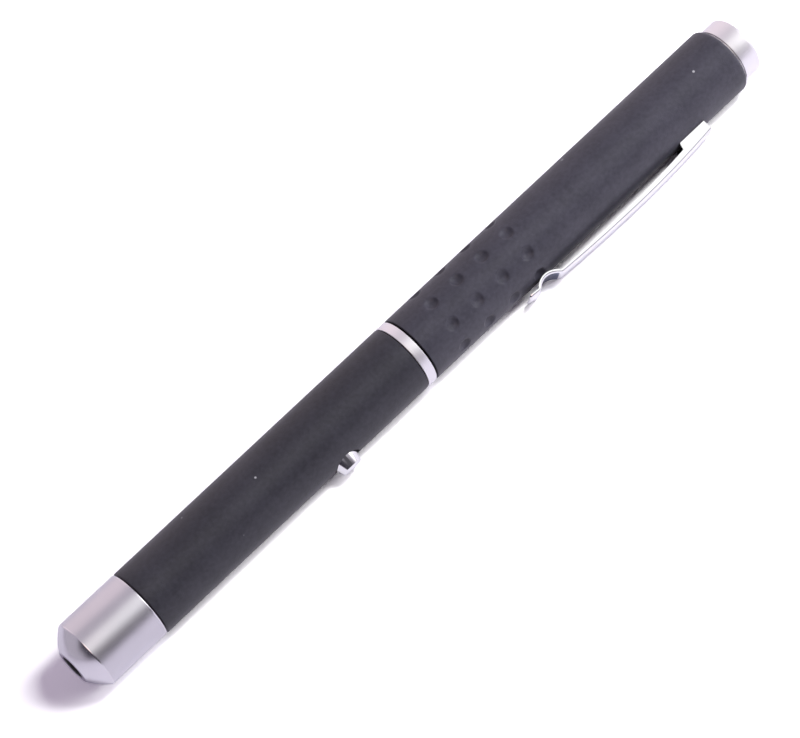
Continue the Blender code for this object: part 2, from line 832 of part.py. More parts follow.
def make_clip():
    """Pressed spring clip: bowed channel, wave at the free end, closed root block and slot tab."""
    block_start = clip_length - clip_root_block
    seat = math.sqrt(barrel_radius**2 - (clip_width / 2) ** 2) + seat_gap
    outer = []
    inner = []
    for place in clip_places():
        along = clip_tip + place
        back = barrel_radius + clip_rise(place / clip_length)
        to_tip = min(1.0, place / clip_tip_round)
        widening = math.sqrt(1 - (1 - to_tip) ** 2)
        half = clip_width / 2 * (clip_tip_width_share + (1 - clip_tip_width_share) * widening)
        flat = half - clip_shoulder_width
        edge_drop = clip_drop(place, 1.0)
        flat_drop = clip_drop(place, flat / half)
        middle_drop = clip_drop(place, 0.0)
        edge = back - edge_drop
        base = seat if place > block_start else edge - clip_side_depth(place)
        strip_base = back + clip_crown - middle_drop - clip_sheet
        middle_base = strip_base if place < wave_from_tip + wave_radius else base
        outer.append(
            [
                (along, -half, base),
                (along, -half, edge - clip_shoulder_height),
                (along, -flat, back - flat_drop),
                (along, 0.0, back + clip_crown - middle_drop),
                (along, flat, back - flat_drop),
                (along, half, edge - clip_shoulder_height),
                (along, half, base),
                (along, 0.0, max(middle_base, barrel_radius + wave_gap)),
            ]
        )
        if wave_from_tip + wave_radius <= place <= clip_length - clip_sheet:
            hollow = half - clip_sheet
            roof = back - clip_sheet
            floor = barrel_radius - overrun
            inner.append(
                [
                    (along, -hollow, floor),
                    (along, -hollow, roof),
                    (along, hollow, roof),
                    (along, hollow, floor),
                ]
            )
    hinge_place = (clip_root_end, 0.0, barrel_radius - barrel_wall / 2)
    bm = bmesh.new()
    add_lofted(bm, outer)
    clip = finish_object(bm, "clip", chrome, hinge_place, pen_frame)
    bm = bmesh.new()
    add_lofted(bm, inner)
    combine(clip, finish_object(bm, "clip_hollow", None, hinge_place, pen_frame), "DIFFERENCE")

    tab_top = barrel_radius + clip_root_height - clip_sheet / 2
    tab_base = barrel_radius - tab_reach
    tab_place = clip_root_end - tab_from_end - tab_length / 2
    tab_size = (tab_length, tab_width, tab_top - tab_base)
    tab = block_piece("clip_tab", (tab_place, 0.0, (tab_top + tab_base) / 2), tab_size, 0.0, None)
    combine(clip, tab, "UNION")


def cell_profile(start):
    """Outline of one cell with its plus end towards the nose."""
    end = start + cell_length
    shoulder = start + cell_nub_height
    return [
        (start, 0.0),
        (start, cell_nub_radius),
        (shoulder, cell_nub_radius),
        (shoulder, cell_radius - cell_edge),
        (shoulder + cell_edge, cell_radius),
        (end - cell_foot_height - cell_edge, cell_radius),
        (end - cell_foot_height, cell_radius - cell_edge),
        (end - cell_foot_height, cell_foot_radius),
        (end, cell_foot_radius),
        (end, 0.0),
    ]


def make_cells():
    """Two cells in a row."""
    for name, start in (("front_cell", front_cell_start), ("rear_cell", rear_cell_start)):
        turned_piece(name, cell_profile(start), inner_facets, cell_sleeve)


def spring_points(start, end, start_radius, end_radius, turns, wire):
    """Centre line of a conical spring, with a straight leg of one wire at each end."""
    count = int(round(turns * points_per_turn))
    coil = []
    for step in range(count + 1):
        share = step / count
        angle = 2 * math.pi * turns * share
        radius = start_radius + (end_radius - start_radius) * share
        along = start + wire + (end - start - 2 * wire) * share
        coil.append(Vector((along, radius * math.cos(angle), radius * math.sin(angle))))
    first = Vector((start, coil[0].y, coil[0].z))
    last = Vector((end, coil[-1].y, coil[-1].z))
    return [first, *coil, last]


def least_gap(points, wire):
    """The least clear distance between turns of a spring, measured on its points."""
    least = None
    apart = points_per_turn // 2 + 1
    for near in range(len(points)):
        for far in range(near + apart, len(points)):
            distance = (points[near] - points[far]).length - wire
            if least is None or distance < least:
                least = distance
    return least


def make_spring(name, points, wire):
    """One unbroken wire along the points."""
    curve = bpy.data.curves.new(name, "CURVE")
    curve.dimensions = "3D"
    curve.bevel_depth = wire / 2
    curve.bevel_resolution = 1
    curve.use_fill_caps = True
    spline = curve.splines.new("POLY")
    spline.points.add(len(points) - 1)
    for point, place in zip(spline.points, points):
        point.co = (*place, 1.0)
    curve.materials.append(steel)
    spring = bpy.data.objects.new(name, curve)
    spring.parent = pen_frame
    bpy.context.scene.collection.objects.link(spring)
    print(f"{name}: least gap between turns {least_gap(points, wire) * 1000:.2f} mm")


def make_springs():
    """Contact springs at the driver board and in the tail cap."""
    front = spring_points(
        board_end + joint_gap,
        front_cell_start - joint_gap,
        front_spring_base_radius,
        front_spring_tip_radius,
        front_spring_turns,
        front_spring_wire,
    )
    make_spring("front_contact_spring", front, front_spring_wire)
    tail = spring_points(
        rear_cell_end + joint_gap,
        tail_floor - joint_gap,
        tail_spring_tip_radius,
        tail_spring_base_radius,
        tail_spring_turns,
        tail_spring_wire,
    )
    make_spring("tail_spring", tail, tail_spring_wire)


def make_tail_cap():
    """Silver plug that closes the tail and seats the tail spring."""
    plug_start = rear_cell_end + joint_gap
    round_start = pen_length - tail_head_round
    profile = [
        (plug_start, tail_plug_bore_radius),
        (plug_start, tail_plug_radius),
        (tail_head_start, tail_plug_radius),
        (tail_head_start, tail_head_radius),
        *arc_points(round_start, tail_head_radius - tail_head_round, tail_head_round, 90, 0, 4),
        (pen_length, 0.0),
        (tail_floor, 0.0),
        (tail_floor, tail_plug_bore_radius),
    ]
    turned_piece("tail_cap", profile, barrel_facets, satin_silver)


make_nose_cone()
make_module_housing()
make_lens_cell()
make_collimating_lens()
expander_end = make_expander()
crystal_end = make_crystal(expander_end + seat_gap)
make_pump_diode(crystal_end + diode_gap)
make_board()
make_switch_and_button()
make_front_barrel()
make_spigot_and_ring()
make_rear_barrel()
make_clip()
make_cells()
make_springs()
make_tail_cap()
print(f"pen length {pen_length * 1000:.2f} mm, rest roll {math.degrees(rest_roll):.2f} degrees")
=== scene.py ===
import json
import math

import bmesh
import bpy
from mathutils import Matrix, Vector


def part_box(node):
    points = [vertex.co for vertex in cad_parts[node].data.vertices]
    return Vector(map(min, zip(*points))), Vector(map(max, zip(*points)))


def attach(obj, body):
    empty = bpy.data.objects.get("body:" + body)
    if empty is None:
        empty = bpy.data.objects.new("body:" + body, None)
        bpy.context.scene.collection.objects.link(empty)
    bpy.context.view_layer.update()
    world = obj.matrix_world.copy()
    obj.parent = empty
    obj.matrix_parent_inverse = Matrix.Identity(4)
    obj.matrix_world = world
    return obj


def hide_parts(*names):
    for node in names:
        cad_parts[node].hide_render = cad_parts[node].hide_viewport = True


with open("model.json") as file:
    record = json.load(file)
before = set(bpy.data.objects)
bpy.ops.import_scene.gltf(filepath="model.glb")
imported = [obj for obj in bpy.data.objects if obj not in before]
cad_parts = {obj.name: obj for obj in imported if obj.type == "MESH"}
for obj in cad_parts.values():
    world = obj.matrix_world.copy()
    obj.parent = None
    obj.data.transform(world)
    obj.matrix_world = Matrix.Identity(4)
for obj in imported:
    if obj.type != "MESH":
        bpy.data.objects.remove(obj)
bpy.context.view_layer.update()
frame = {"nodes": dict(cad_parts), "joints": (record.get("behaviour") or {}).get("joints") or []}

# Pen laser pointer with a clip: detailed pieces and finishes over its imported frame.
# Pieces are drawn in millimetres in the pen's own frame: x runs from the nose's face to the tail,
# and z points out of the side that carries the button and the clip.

mm = 0.001

jointNamed = {joint["name"]: joint for joint in frame["joints"]}
alongPen = Vector((1.0, 0.0, 0.0))
outward = -Vector(jointNamed["button_press"]["axis"]).normalized()
sideways = outward.cross(alongPen)
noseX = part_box("nose_cone")[0].x
penAxis = jointNamed["barrel_turn"]["pos_m"]
penMatrix = Matrix.Translation((noseX, penAxis[1], penAxis[2]))
penMatrix = penMatrix @ Matrix((alongPen, sideways, outward)).transposed().to_4x4()
barrelRadius = 6.5


def nodeSpan(node):
    # Where a node starts and ends along the pen, in mm from the nose
    low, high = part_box(node)
    return (low.x - noseX) / mm, (high.x - noseX) / mm


# Node groups and materials

noiseShapes = {
    "blotchScale": 0.3,  # of the grain's own scale
    "blotchShare": 0.55,
    "speckReach": 0.06,
    "broadRings": 0.06,  # of the fine rings' frequency
    "hairlineStretch": (0.25, 3.0, 3.0),
    "hairlineScale": 2.2,
    "hairlineFrom": 0.62,
}


def newGroup(name, inputs, outputs):
    group = bpy.data.node_groups.new(name, "ShaderNodeTree")
    for label, value in inputs.items():
        socket = group.interface.new_socket(label, in_out="INPUT", socket_type="NodeSocketFloat")
        socket.default_value = value
    for label in outputs:
        group.interface.new_socket(label, in_out="OUTPUT", socket_type="NodeSocketFloat")
    return group, group.nodes.new("NodeGroupInput"), group.nodes.new("NodeGroupOutput")


def addNode(tree, kind, values=None, **settings):
    node = tree.nodes.new(kind)
    for label, value in settings.items():
        setattr(node, label, value)
    for label, value in (values or {}).items():
        if isinstance(value, bpy.types.NodeSocket):
            tree.links.new(value, node.inputs[label])
        else:
            node.inputs[label].default_value = value
    return node


def mathNode(tree, operation, first, second=0.0, clamp=False):
    values = {0: first, 1: second}
    return addNode(tree, "ShaderNodeMath", values, operation=operation, use_clamp=clamp).outputs[0]


def placeInMm(tree, stretch=(1.0, 1.0, 1.0)):
    # Object coordinates in mm, scaled along each axis
    place = addNode(tree, "ShaderNodeTexCoord").outputs["Object"]
    scale = tuple(share / mm for share in stretch)
    return addNode(tree, "ShaderNodeMapping", {"Vector": place, "Scale": scale}).outputs[0]


def makeFineGrain():
    # Close soft pits of a sprayed or moulded skin, slow mottling, and a few light specks
    inputs = {"Grain size": 0.25, "Mottle size": 6.0, "Speck size": 5.0, "Speck share": 0.5}
    group, given, out = newGroup("fineGrain", inputs, ("Height", "Mottle", "Specks"))
    place = placeInMm(group)
    grainScale = mathNode(group, "DIVIDE", 1.0, given.outputs["Grain size"])
    grain = addNode(group, "ShaderNodeTexNoise", {"Vector": place, "Scale": grainScale, "Detail": 3.0})
    mottleScale = mathNode(group, "DIVIDE", 1.0, given.outputs["Mottle size"])
    slow = addNode(group, "ShaderNodeTexNoise", {"Vector": place, "Scale": mottleScale, "Detail": 4.0})
    blotchScale = mathNode(group, "MULTIPLY", grainScale, noiseShapes["blotchScale"])
    blotch = addNode(group, "ShaderNodeTexNoise", {"Vector": place, "Scale": blotchScale, "Detail": 2.0})
    blend = {"Factor": noiseShapes["blotchShare"], "A": slow.outputs[0], "B": blotch.outputs[0]}
    mottle = addNode(group, "ShaderNodeMix", blend)
    speckScale = mathNode(group, "DIVIDE", 1.0, given.outputs["Speck size"])
    cells = addNode(group, "ShaderNodeTexVoronoi", {"Vector": place, "Scale": speckScale})
    reach = mathNode(group, "MULTIPLY", given.outputs["Speck share"], noiseShapes["speckReach"])
    near = mathNode(group, "LESS_THAN", cells.outputs["Distance"], reach)
    group.links.new(grain.outputs[0], out.inputs["Height"])
    group.links.new(mottle.outputs["Result"], out.inputs["Mottle"])
    group.links.new(near, out.inputs["Specks"])
    return group


def makeTurnedMarks():
    # Fine rings that a lathe or a polishing wheel leaves round the pen's axis
    inputs = {"Ring pitch": 0.12, "Softness": 0.5}
    group, given, out = newGroup("turnedMarks", inputs, ("Height", "Sheen"))
    place = addNode(group, "ShaderNodeSeparateXYZ", {0: placeInMm(group)})
    rings = mathNode(group, "DIVIDE", place.outputs[0], given.outputs["Ring pitch"])
    fineNoise = {"W": rings, "Scale": 1.0, "Detail": 2.0}
    fine = addNode(group, "ShaderNodeTexNoise", fineNoise, noise_dimensions="1D")
    broadRings = mathNode(group, "MULTIPLY", rings, noiseShapes["broadRings"])
    broadNoise = {"W": broadRings, "Scale": 1.0, "Detail": 1.0}
    broad = addNode(group, "ShaderNodeTexNoise", broadNoise, noise_dimensions="1D")
    mixed = addNode(group, "ShaderNodeMix", {"Factor": given.outputs["Softness"]})
    group.links.new(fine.outputs[0], mixed.inputs["A"])
    group.links.new(broad.outputs[0], mixed.inputs["B"])
    group.links.new(fine.outputs[0], out.inputs["Height"])
    group.links.new(mixed.outputs["Result"], out.inputs["Sheen"])
    return group


def makeHandling():
    # Smudges and faint hairlines from use
    inputs = {"Smudge size": 4.0, "Hairlines": 0.4}
    group, given, out = newGroup("handling", inputs, ("Smudge", "Lines"))
    place = placeInMm(group)
    smudgeScale = mathNode(group, "DIVIDE", 1.0, given.outputs["Smudge size"])
    smudgeNoise = {"Vector": place, "Scale": smudgeScale, "Detail": 5.0, "Distortion": 0.6}
    smudge = addNode(group, "ShaderNodeTexNoise", smudgeNoise)
    long = placeInMm(group, noiseShapes["hairlineStretch"])
    lineNoise = {"Vector": long, "Scale": noiseShapes["hairlineScale"], "Detail": 2.0}
    lines = addNode(group, "ShaderNodeTexNoise", lineNoise)
    sharp = mathNode(group, "SUBTRACT", lines.outputs[0], noiseShapes["hairlineFrom"], clamp=True)
    scaled = mathNode(group, "MULTIPLY", sharp, given.outputs["Hairlines"])
    group.links.new(smudge.outputs[0], out.inputs["Smudge"])
    group.links.new(scaled, out.inputs["Lines"])
    return group


fineGrain = makeFineGrain()
turnedMarks = makeTurnedMarks()
handling = makeHandling()


def addGroup(tree, group, values):
    node = addNode(tree, "ShaderNodeGroup")
    node.node_tree = group
    for label, value in values.items():
        node.inputs[label].default_value = value
    return node.outputs


def newMaterial(name, settings):
    # A material whose plain numbers are set on the shader's own sockets
    material = bpy.data.materials.new(name)
    material.use_nodes = True
    shader = material.node_tree.nodes["Principled BSDF"]
    for label, value in settings.items():
        shader.inputs[label].default_value = value
    return material, material.node_tree, shader


def mixColours(tree, factor, first, second):
    # The sockets are picked by number, because the colour ones share their names with the plain ones
    node = addNode(tree, "ShaderNodeMix", data_type="RGBA")
    for index, value in ((0, factor), (6, first), (7, second)):
        if isinstance(value, bpy.types.NodeSocket):
            tree.links.new(value, node.inputs[index])
        else:
            node.inputs[index].default_value = value
    return node.outputs[2]


def spread(tree, value, low, high):
    # Takes the middle of a noise, about 0.3 to 0.7, to the range from low to high
    values = {"Value": value, "From Min": 0.3, "From Max": 0.7, "To Min": low, "To Max": high}
    return addNode(tree, "ShaderNodeMapRange", values).outputs[0]


def bump(tree, shader, height, depth):
    # Depth is in mm
    node = addNode(tree, "ShaderNodeBump", {"Height": height, "Strength": 1.0, "Distance": depth * mm})
    tree.links.new(node.outputs[0], shader.inputs["Normal"])


def mottled(tree, mask, first, second):
    # A colour between two tones, by a noise
    return mixColours(tree, spread(tree, mask, 0.0, 1.0), first, second)


coat = {
    "shader": {"Specular IOR Level": 0.46, "Sheen Weight": 0.03, "Sheen Roughness": 0.45},
    "grain": {"Grain size": 0.22, "Mottle size": 7.0, "Speck size": 7.0, "Speck share": 0.55},
    "wear": {"Smudge size": 9.0, "Hairlines": 0.5},
    "speck": (0.30, 0.30, 0.32, 1.0),
    "roughness": (0.42, 0.50),
    "grainDepth": 0.030,
}


def makeCoat(name, dark, light):
    material, tree, shader = newMaterial(name, coat["shader"])
    grain = addGroup(tree, fineGrain, coat["grain"])
    wear = addGroup(tree, handling, coat["wear"])
    ground = mottled(tree, grain["Mottle"], dark, light)
    tree.links.new(mixColours(tree, grain["Specks"], ground, coat["speck"]), shader.inputs["Base Color"])
    tree.links.new(spread(tree, wear["Smudge"], *coat["roughness"]), shader.inputs["Roughness"])
    bump(tree, shader, grain["Height"], coat["grainDepth"])
    return material


metal = {
    "shader": {"Metallic": 1.0},
    "softness": 0.5,
    "wear": {"Smudge size": 5.0, "Hairlines": 0.6},
}


def toned(colour, share):
    return tuple(channel * share for channel in colour[:3]) + (1.0,)


def makeMetal(name, colour, roughness, ringPitch, ringDepth, stain=0.9):
    # Turned or polished metal: fine rings, slow smudges and hairlines
    material, tree, shader = newMaterial(name, metal["shader"])
    marks = addGroup(tree, turnedMarks, {"Ring pitch": ringPitch, "Softness": metal["softness"]})
    wear = addGroup(tree, handling, metal["wear"])
    smudged = mottled(tree, wear["Smudge"], colour, toned(colour, stain))
    tree.links.new(smudged, shader.inputs["Base Color"])
    scratched = mathNode(tree, "ADD", spread(tree, marks["Sheen"], *roughness), wear["Lines"])
    tree.links.new(scratched, shader.inputs["Roughness"])
    bump(tree, shader, marks["Height"], ringDepth)
    return material


plastic = {
    "shader": {"Specular IOR Level": 0.45},
    "grain": {"Grain size": 0.12, "Mottle size": 1.5, "Speck size": 3.0, "Speck share": 0.0},
    "roughnessSpread": 0.06,
    "grainDepth": 0.012,
}


def makePlastic(name, dark, light, rough):
    material, tree, shader = newMaterial(name, plastic["shader"])
    grain = addGroup(tree, fineGrain, plastic["grain"])
    tree.links.new(mottled(tree, grain["Mottle"], dark, light), shader.inputs["Base Color"])
    smoothest = rough - plastic["roughnessSpread"]
    roughest = rough + plastic["roughnessSpread"]
    tree.links.new(spread(tree, grain["Mottle"], smoothest, roughest), shader.inputs["Roughness"])
    bump(tree, shader, grain["Height"], plastic["grainDepth"])
    return material


glass = {
    "shader": {"Transmission Weight": 1.0, "IOR": 1.5, "Coat Weight": 0.2},
    "wear": {"Smudge size": 1.5, "Hairlines": 0.1},
    "smudgeTone": 0.94,
    "smudgeRoughness": 0.03,
}


def makeGlass(name, colour, rough):
    material, tree, shader = newMaterial(name, glass["shader"])
    wear = addGroup(tree, handling, glass["wear"])
    tinted = mottled(tree, wear["Smudge"], colour, toned(colour, glass["smudgeTone"]))
    tree.links.new(tinted, shader.inputs["Base Color"])
    smudged = spread(tree, wear["Smudge"], rough, rough + glass["smudgeRoughness"])
    tree.links.new(smudged, shader.inputs["Roughness"])
    return material


lacquer = {
    "shader": {"Specular IOR Level": 0.5},
    "wear": {"Smudge size": 3.0, "Hairlines": 0.2},
    "ground": (0.012, 0.11, 0.035, 1.0),
    "track": (0.05, 0.26, 0.085, 1.0),
    "tracks": {"Scale": 0.45, "Mortar Size": 0.045, "Brick Width": 1.6, "Row Height": 0.5},
    "trackHeight": 0.03,
    "roughness": (0.28, 0.42),
}


def makeBoardLacquer():
    # Green lacquer over copper tracks
    material, tree, shader = newMaterial("boardLacquer", lacquer["shader"])
    place = placeInMm(tree)
    tracks = addNode(tree, "ShaderNodeTexBrick", {"Vector": place, **lacquer["tracks"]}).outputs["Fac"]
    painted = mixColours(tree, tracks, lacquer["ground"], lacquer["track"])
    tree.links.new(painted, shader.inputs["Base Color"])
    wear = addGroup(tree, handling, lacquer["wear"])
    tree.links.new(spread(tree, wear["Smudge"], *lacquer["roughness"]), shader.inputs["Roughness"])
    bump(tree, shader, tracks, lacquer["trackHeight"])
    return material


# Coats: the two tones of their mottling. Both halves have the same coat; the front copy is darker as
# painted shade and the rear copy lighter as painted light, for the rear half's brighter look under the
# light
frontCoatPaintedShade = makeCoat("frontCoatPaintedShade", (0.012, 0.0118, 0.016, 1.0), (0.026, 0.0255, 0.034, 1.0))
rearCoatPaintedLight = makeCoat("rearCoatPaintedLight", (0.023, 0.0225, 0.031, 1.0), (0.043, 0.0415, 0.056, 1.0))

# Metals: colour, least and most roughness, pitch and depth of the rings in mm, tone of the smudges
satinSilver = makeMetal("satinSilver", (0.70, 0.69, 0.72, 1.0), (0.345, 0.365), 0.6, 0.00005, 0.96)
polishedSilver = makeMetal("polishedSilver", (0.78, 0.77, 0.80, 1.0), (0.20, 0.25), 0.6, 0.00005, 0.96)
# A lighter copy of the silver for the trim ring and the tail plug: painted light, for their sides that
# look bright under the light
paintedLightSilver = makeMetal("paintedLightSilver", (0.93, 0.92, 0.93, 1.0), (0.44, 0.48), 0.4, 0.0001, 0.97)
chromePlate = makeMetal("chromePlate", (0.95, 0.955, 0.945, 1.0), (0.06, 0.12), 0.30, 0.0003, 0.97)
turnedBrass = makeMetal("turnedBrass", (0.78, 0.60, 0.28, 1.0), (0.22, 0.38), 0.14, 0.003)
turnedCopper = makeMetal("turnedCopper", (0.80, 0.46, 0.33, 1.0), (0.24, 0.40), 0.14, 0.003)
# Dark blue metal for the clip's wave hollow: painted shade and reflection, standing in for the shaded
# floor that the hollow mirrors
paintedWaveShade = makeMetal("paintedWaveShade", (0.11, 0.14, 0.22, 1.0), (0.10, 0.16), 0.30, 0.0003)
plainSteel = makeMetal("plainSteel", (0.64, 0.64, 0.65, 1.0), (0.18, 0.30), 0.20, 0.001)

# Glass, plastic and lacquer: colour or tones, and roughness
clearGlass = makeGlass("clearGlass", (0.95, 0.97, 1.0, 1.0), 0.01)
filterGlass = makeGlass("filterGlass", (0.45, 0.78, 0.80, 1.0), 0.01)
crystalGlass = makeGlass("crystalGlass", (0.82, 0.70, 0.95, 1.0), 0.02)
boardLacquer = makeBoardLacquer()
blackPlastic = makePlastic("blackPlastic", (0.016, 0.016, 0.017, 1.0), (0.032, 0.032, 0.033, 1.0), 0.45)
bluePlastic = makePlastic("bluePlastic", (0.02, 0.07, 0.30, 1.0), (0.04, 0.11, 0.38, 1.0), 0.38)
yellowPlastic = makePlastic("yellowPlastic", (0.55, 0.34, 0.04, 1.0), (0.68, 0.45, 0.07, 1.0), 0.40)
# Near-black for painted shade: in the nose's aperture and bore, and on the sleeve in the closed joint by
# the ring
paintedRecessShade = makePlastic("paintedRecessShade", (0.006, 0.006, 0.007, 1.0), (0.012, 0.012, 0.013, 1.0), 0.6)
cellWrap = makePlastic("cellWrap", (0.03, 0.12, 0.09, 1.0), (0.05, 0.16, 0.12, 1.0), 0.26)
print("materials are made")


# Mesh helpers

def easedProfile(corners, steps=6):
    # A corner is (x, radius), or (x, radius, ease) to turn it into an arc of that radius
    points = []
    for index, corner in enumerate(corners):
        here = Vector(corner[:2])
        if len(corner) == 2:
            points.append(tuple(here))
            continue
        before = (Vector(corners[index - 1][:2]) - here).normalized()
        after = (Vector(corners[(index + 1) % len(corners)][:2]) - here).normalized()
        half = before.angle(after) / 2
        centre = here + (before + after).normalized() * corner[2] / math.sin(half)
        first = here + before * corner[2] / math.tan(half) - centre
        last = here + after * corner[2] / math.tan(half) - centre
        whole = first.angle(last)
        for step in range(steps + 1):
            share = step / steps
            spoke = first * math.sin((1 - share) * whole) + last * math.sin(share * whole)
            points.append(tuple(centre + spoke / math.sin(whole)))
    return points


def addTurned(bm, profile, facets=160, axis="x", place=(0.0, 0.0, 0.0), slots=None):
    # Turns a closed profile of (x, radius) points; slots gives a material index for each stretch
    # A point on the axis, with no radius, becomes one vertex
    rings = []
    for along, radius in profile:
        ring = []
        for step in range(facets if radius > 0 else 1):
            angle = 2 * math.pi * (step + 0.5) / facets
            across = radius * math.sin(angle)
            up = radius * math.cos(angle)
            point = (along, across, up) if axis == "x" else (across, up, along)
            ring.append(bm.verts.new(Vector(point) + Vector(place)))
        rings.append(ring)
    for index, near in enumerate(rings):
        far = rings[(index + 1) % len(rings)]
        if len(near) == 1 and len(far) == 1:
            continue
        for step in range(facets):
            after = (step + 1) % facets
            corners = [near[step % len(near)]]
            if len(near) > 1:
                corners.append(near[after])
            if len(far) > 1:
                corners.append(far[after])
            corners.append(far[step % len(far)])
            face = bm.faces.new(corners)
            if slots:
                face.material_index = slots[index]


def turnOutward(mesh):
    # Turns every face round if the closed mesh is inside out
    bm = bmesh.new()
    bm.from_mesh(mesh)
    if bm.calc_volume(signed=True) < 0:
        bmesh.ops.reverse_faces(bm, faces=bm.faces)
        bm.to_mesh(mesh)
    bm.free()


def finishPiece(name, bm, body, materials, nodes=(), sharp=32):
    # The bmesh, in mm in the pen's frame, as a smooth piece on its body
    bmesh.ops.recalc_face_normals(bm, faces=bm.faces)
    bm.transform(penMatrix @ Matrix.Scale(mm, 4))
    mesh = bpy.data.meshes.new(name)
    bm.to_mesh(mesh)
    bm.free()
    turnOutward(mesh)
    mesh.shade_smooth()
    mesh.set_sharp_from_angle(angle=math.radians(sharp))
    for material in materials:
        mesh.materials.append(material)
    piece = bpy.data.objects.new(name, mesh)
    bpy.context.scene.collection.objects.link(piece)
    if body:
        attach(piece, body)
    if nodes:
        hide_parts(*nodes)
    return piece


def applyCut(piece, cutter, operation="DIFFERENCE", sharp=32):
    # Cuts or joins the helper at once, and takes it away again
    change = piece.modifiers.new("cut", "BOOLEAN")
    change.operation = operation
    change.solver = "EXACT"
    change.object = cutter
    seen = piece.evaluated_get(bpy.context.evaluated_depsgraph_get())
    mesh = bpy.data.meshes.new_from_object(seen)
    turnOutward(mesh)
    piece.modifiers.clear()
    piece.data = mesh
    bpy.data.objects.remove(cutter)
    mesh.shade_smooth()
    mesh.set_sharp_from_angle(angle=math.radians(sharp))


def addBlock(bm, centre, size):
    verts = bmesh.ops.create_cube(bm, size=1.0)["verts"]
    bmesh.ops.scale(bm, vec=size, verts=verts)
    bmesh.ops.translate(bm, vec=centre, verts=verts)


def softClamp(value, soft):
    # The value where it is above 0, and a smooth run down to 0 below
    return (value + math.sqrt(value * value + soft * soft)) / 2


def between(low, high, share):
    return low + (high - low) * share


# Nose

nose = {
    "faceRadius": 3.2,
    "taperLength": 3.0,
    "taperBulge": 0.2,
    "taperSteps": 20,
    "lip": 0.42,
    "apertureRadius": 1.95,
    "apertureEdge": 0.35,
    "apertureEase": 0.12,
    "apertureLength": 2.2,
    "faceEase": 0.10,
    "flareRadius": 3.6,
    "floor": 3.9,
    "wall": 0.95,
    "endEdge": 0.35,
    "closerEnd": 0.12,
    "paintedRecessReach": (0.2, 0.1),  # how far past the aperture and the bore the black goes
}


def makeNose():
    end = nodeSpan("nose_cone")[1] + nose["closerEnd"]
    bore = barrelRadius - nose["wall"]
    aperture = nose["apertureRadius"]
    rise = barrelRadius - nose["faceRadius"]
    slant = math.hypot(nose["taperLength"], rise)
    taper = []
    for step in range(1, nose["taperSteps"]):
        share = step / nose["taperSteps"]
        bulge = nose["taperBulge"] * 4 * share * (1 - share) / slant
        along = nose["taperLength"] * share - bulge * rise
        taper.append((along, nose["faceRadius"] + rise * share + bulge * nose["taperLength"]))
    corners = [
        (nose["apertureLength"], aperture),
        (nose["apertureEdge"], aperture, nose["apertureEase"]),
        (0.0, aperture + nose["apertureEdge"], nose["apertureEase"]),
        (0.0, nose["faceRadius"], nose["faceEase"]),
        *taper,
        (nose["taperLength"], barrelRadius, nose["lip"]),
        (end, barrelRadius, nose["endEdge"]),
        (end, bore),
        (nose["floor"], bore),
        (nose["floor"], nose["flareRadius"]),
    ]
    points = easedProfile(corners)
    apertureDark, boreDark = nose["paintedRecessReach"]
    slots = []
    for index, point in enumerate(points):
        after = points[(index + 1) % len(points)]
        along = (point[0] + after[0]) / 2
        radius = (point[1] + after[1]) / 2
        # Painted shade: the aperture and the inside of the bore take the near-black
        dark = radius < aperture + apertureDark or (along > nose["floor"] and radius < bore + boreDark)
        polished = along < nose["taperLength"] + nose["lip"] / 2 or along > end - nose["endEdge"]
        slots.append(2 if dark else 1 if polished else 0)
    bm = bmesh.new()
    addTurned(bm, points, slots=slots)
    finishes = [satinSilver, polishedSilver, paintedRecessShade]
    finishPiece("noseCone", bm, "front", finishes, ["nose_cone"])


makeNose()
print("nose is made")


# Front half with the button's hole

frontHalf = {
    "bore": 5.55,
    "edge": 0.3,
    "threadBore": 6.0,
    "seatGap": 0.2,
    "endEase": 0.06,
    "closerStart": 0.13,
    "facets": 192,
    "stations": 24,
    "holeRadius": 2.85,
    "holeFrom": 2.0,
    "holeTo": 8.0,
    "holeFacets": 96,
    "lip": 0.16,
    "lipAngle": 50,
}


def buttonPlace():
    low, high = nodeSpan("button_cap")
    return (low + high) / 2


def makeFrontHalf():
    start, end = nodeSpan("front_barrel")
    start -= frontHalf["closerStart"]
    spigotStart = nodeSpan("thread_spigot")[0] - frontHalf["seatGap"]
    stations = frontHalf["stations"]
    corners = [
        (start, frontHalf["bore"]),
        (start, barrelRadius, frontHalf["edge"]),
        *[(between(start, end, step / stations), barrelRadius) for step in range(1, stations)],
        (end, barrelRadius, frontHalf["endEase"]),
        (end, frontHalf["threadBore"]),
        (spigotStart, frontHalf["threadBore"]),
        (spigotStart, frontHalf["bore"]),
    ]
    bm = bmesh.new()
    addTurned(bm, easedProfile(corners), frontHalf["facets"])
    # The darker front copy of the coat: painted shade against the lighter rear half
    half = finishPiece("frontHalf", bm, "front", [frontCoatPaintedShade], ["front_barrel"])
    low, high, radius = frontHalf["holeFrom"], frontHalf["holeTo"], frontHalf["holeRadius"]
    bm = bmesh.new()
    profile = [(low, 0.0), (low, radius), (high, radius), (high, 0.0)]
    addTurned(bm, profile, frontHalf["holeFacets"], "z", (buttonPlace(), 0.0, 0.0))
    applyCut(half, finishPiece("buttonHole", bm, None, [frontCoatPaintedShade]))
    ease = half.modifiers.new("easedLip", "BEVEL")
    ease.width = frontHalf["lip"] * mm
    ease.segments = 2
    ease.limit_method = "ANGLE"
    ease.angle_limit = math.radians(frontHalf["lipAngle"])


makeFrontHalf()
print("front half is made")


# Button: a polished cap that tapers to a slightly crowned top

button = {
    "radius": 2.65,
    "topRadius": 1.95,
    "taperFrom": 5.6,
    "taperEase": 0.6,
    "proud": 1.4,
    "crown": 0.10,
    "crownShares": (0.75, 0.5, 0.25, 0.0),
    "flangeRadius": 3.2,
    "flangeTop": 4.335,
    "flangeBase": 3.835,
    "flangeEase": 0.08,
    "edge": 0.28,
    "facets": 128,
}


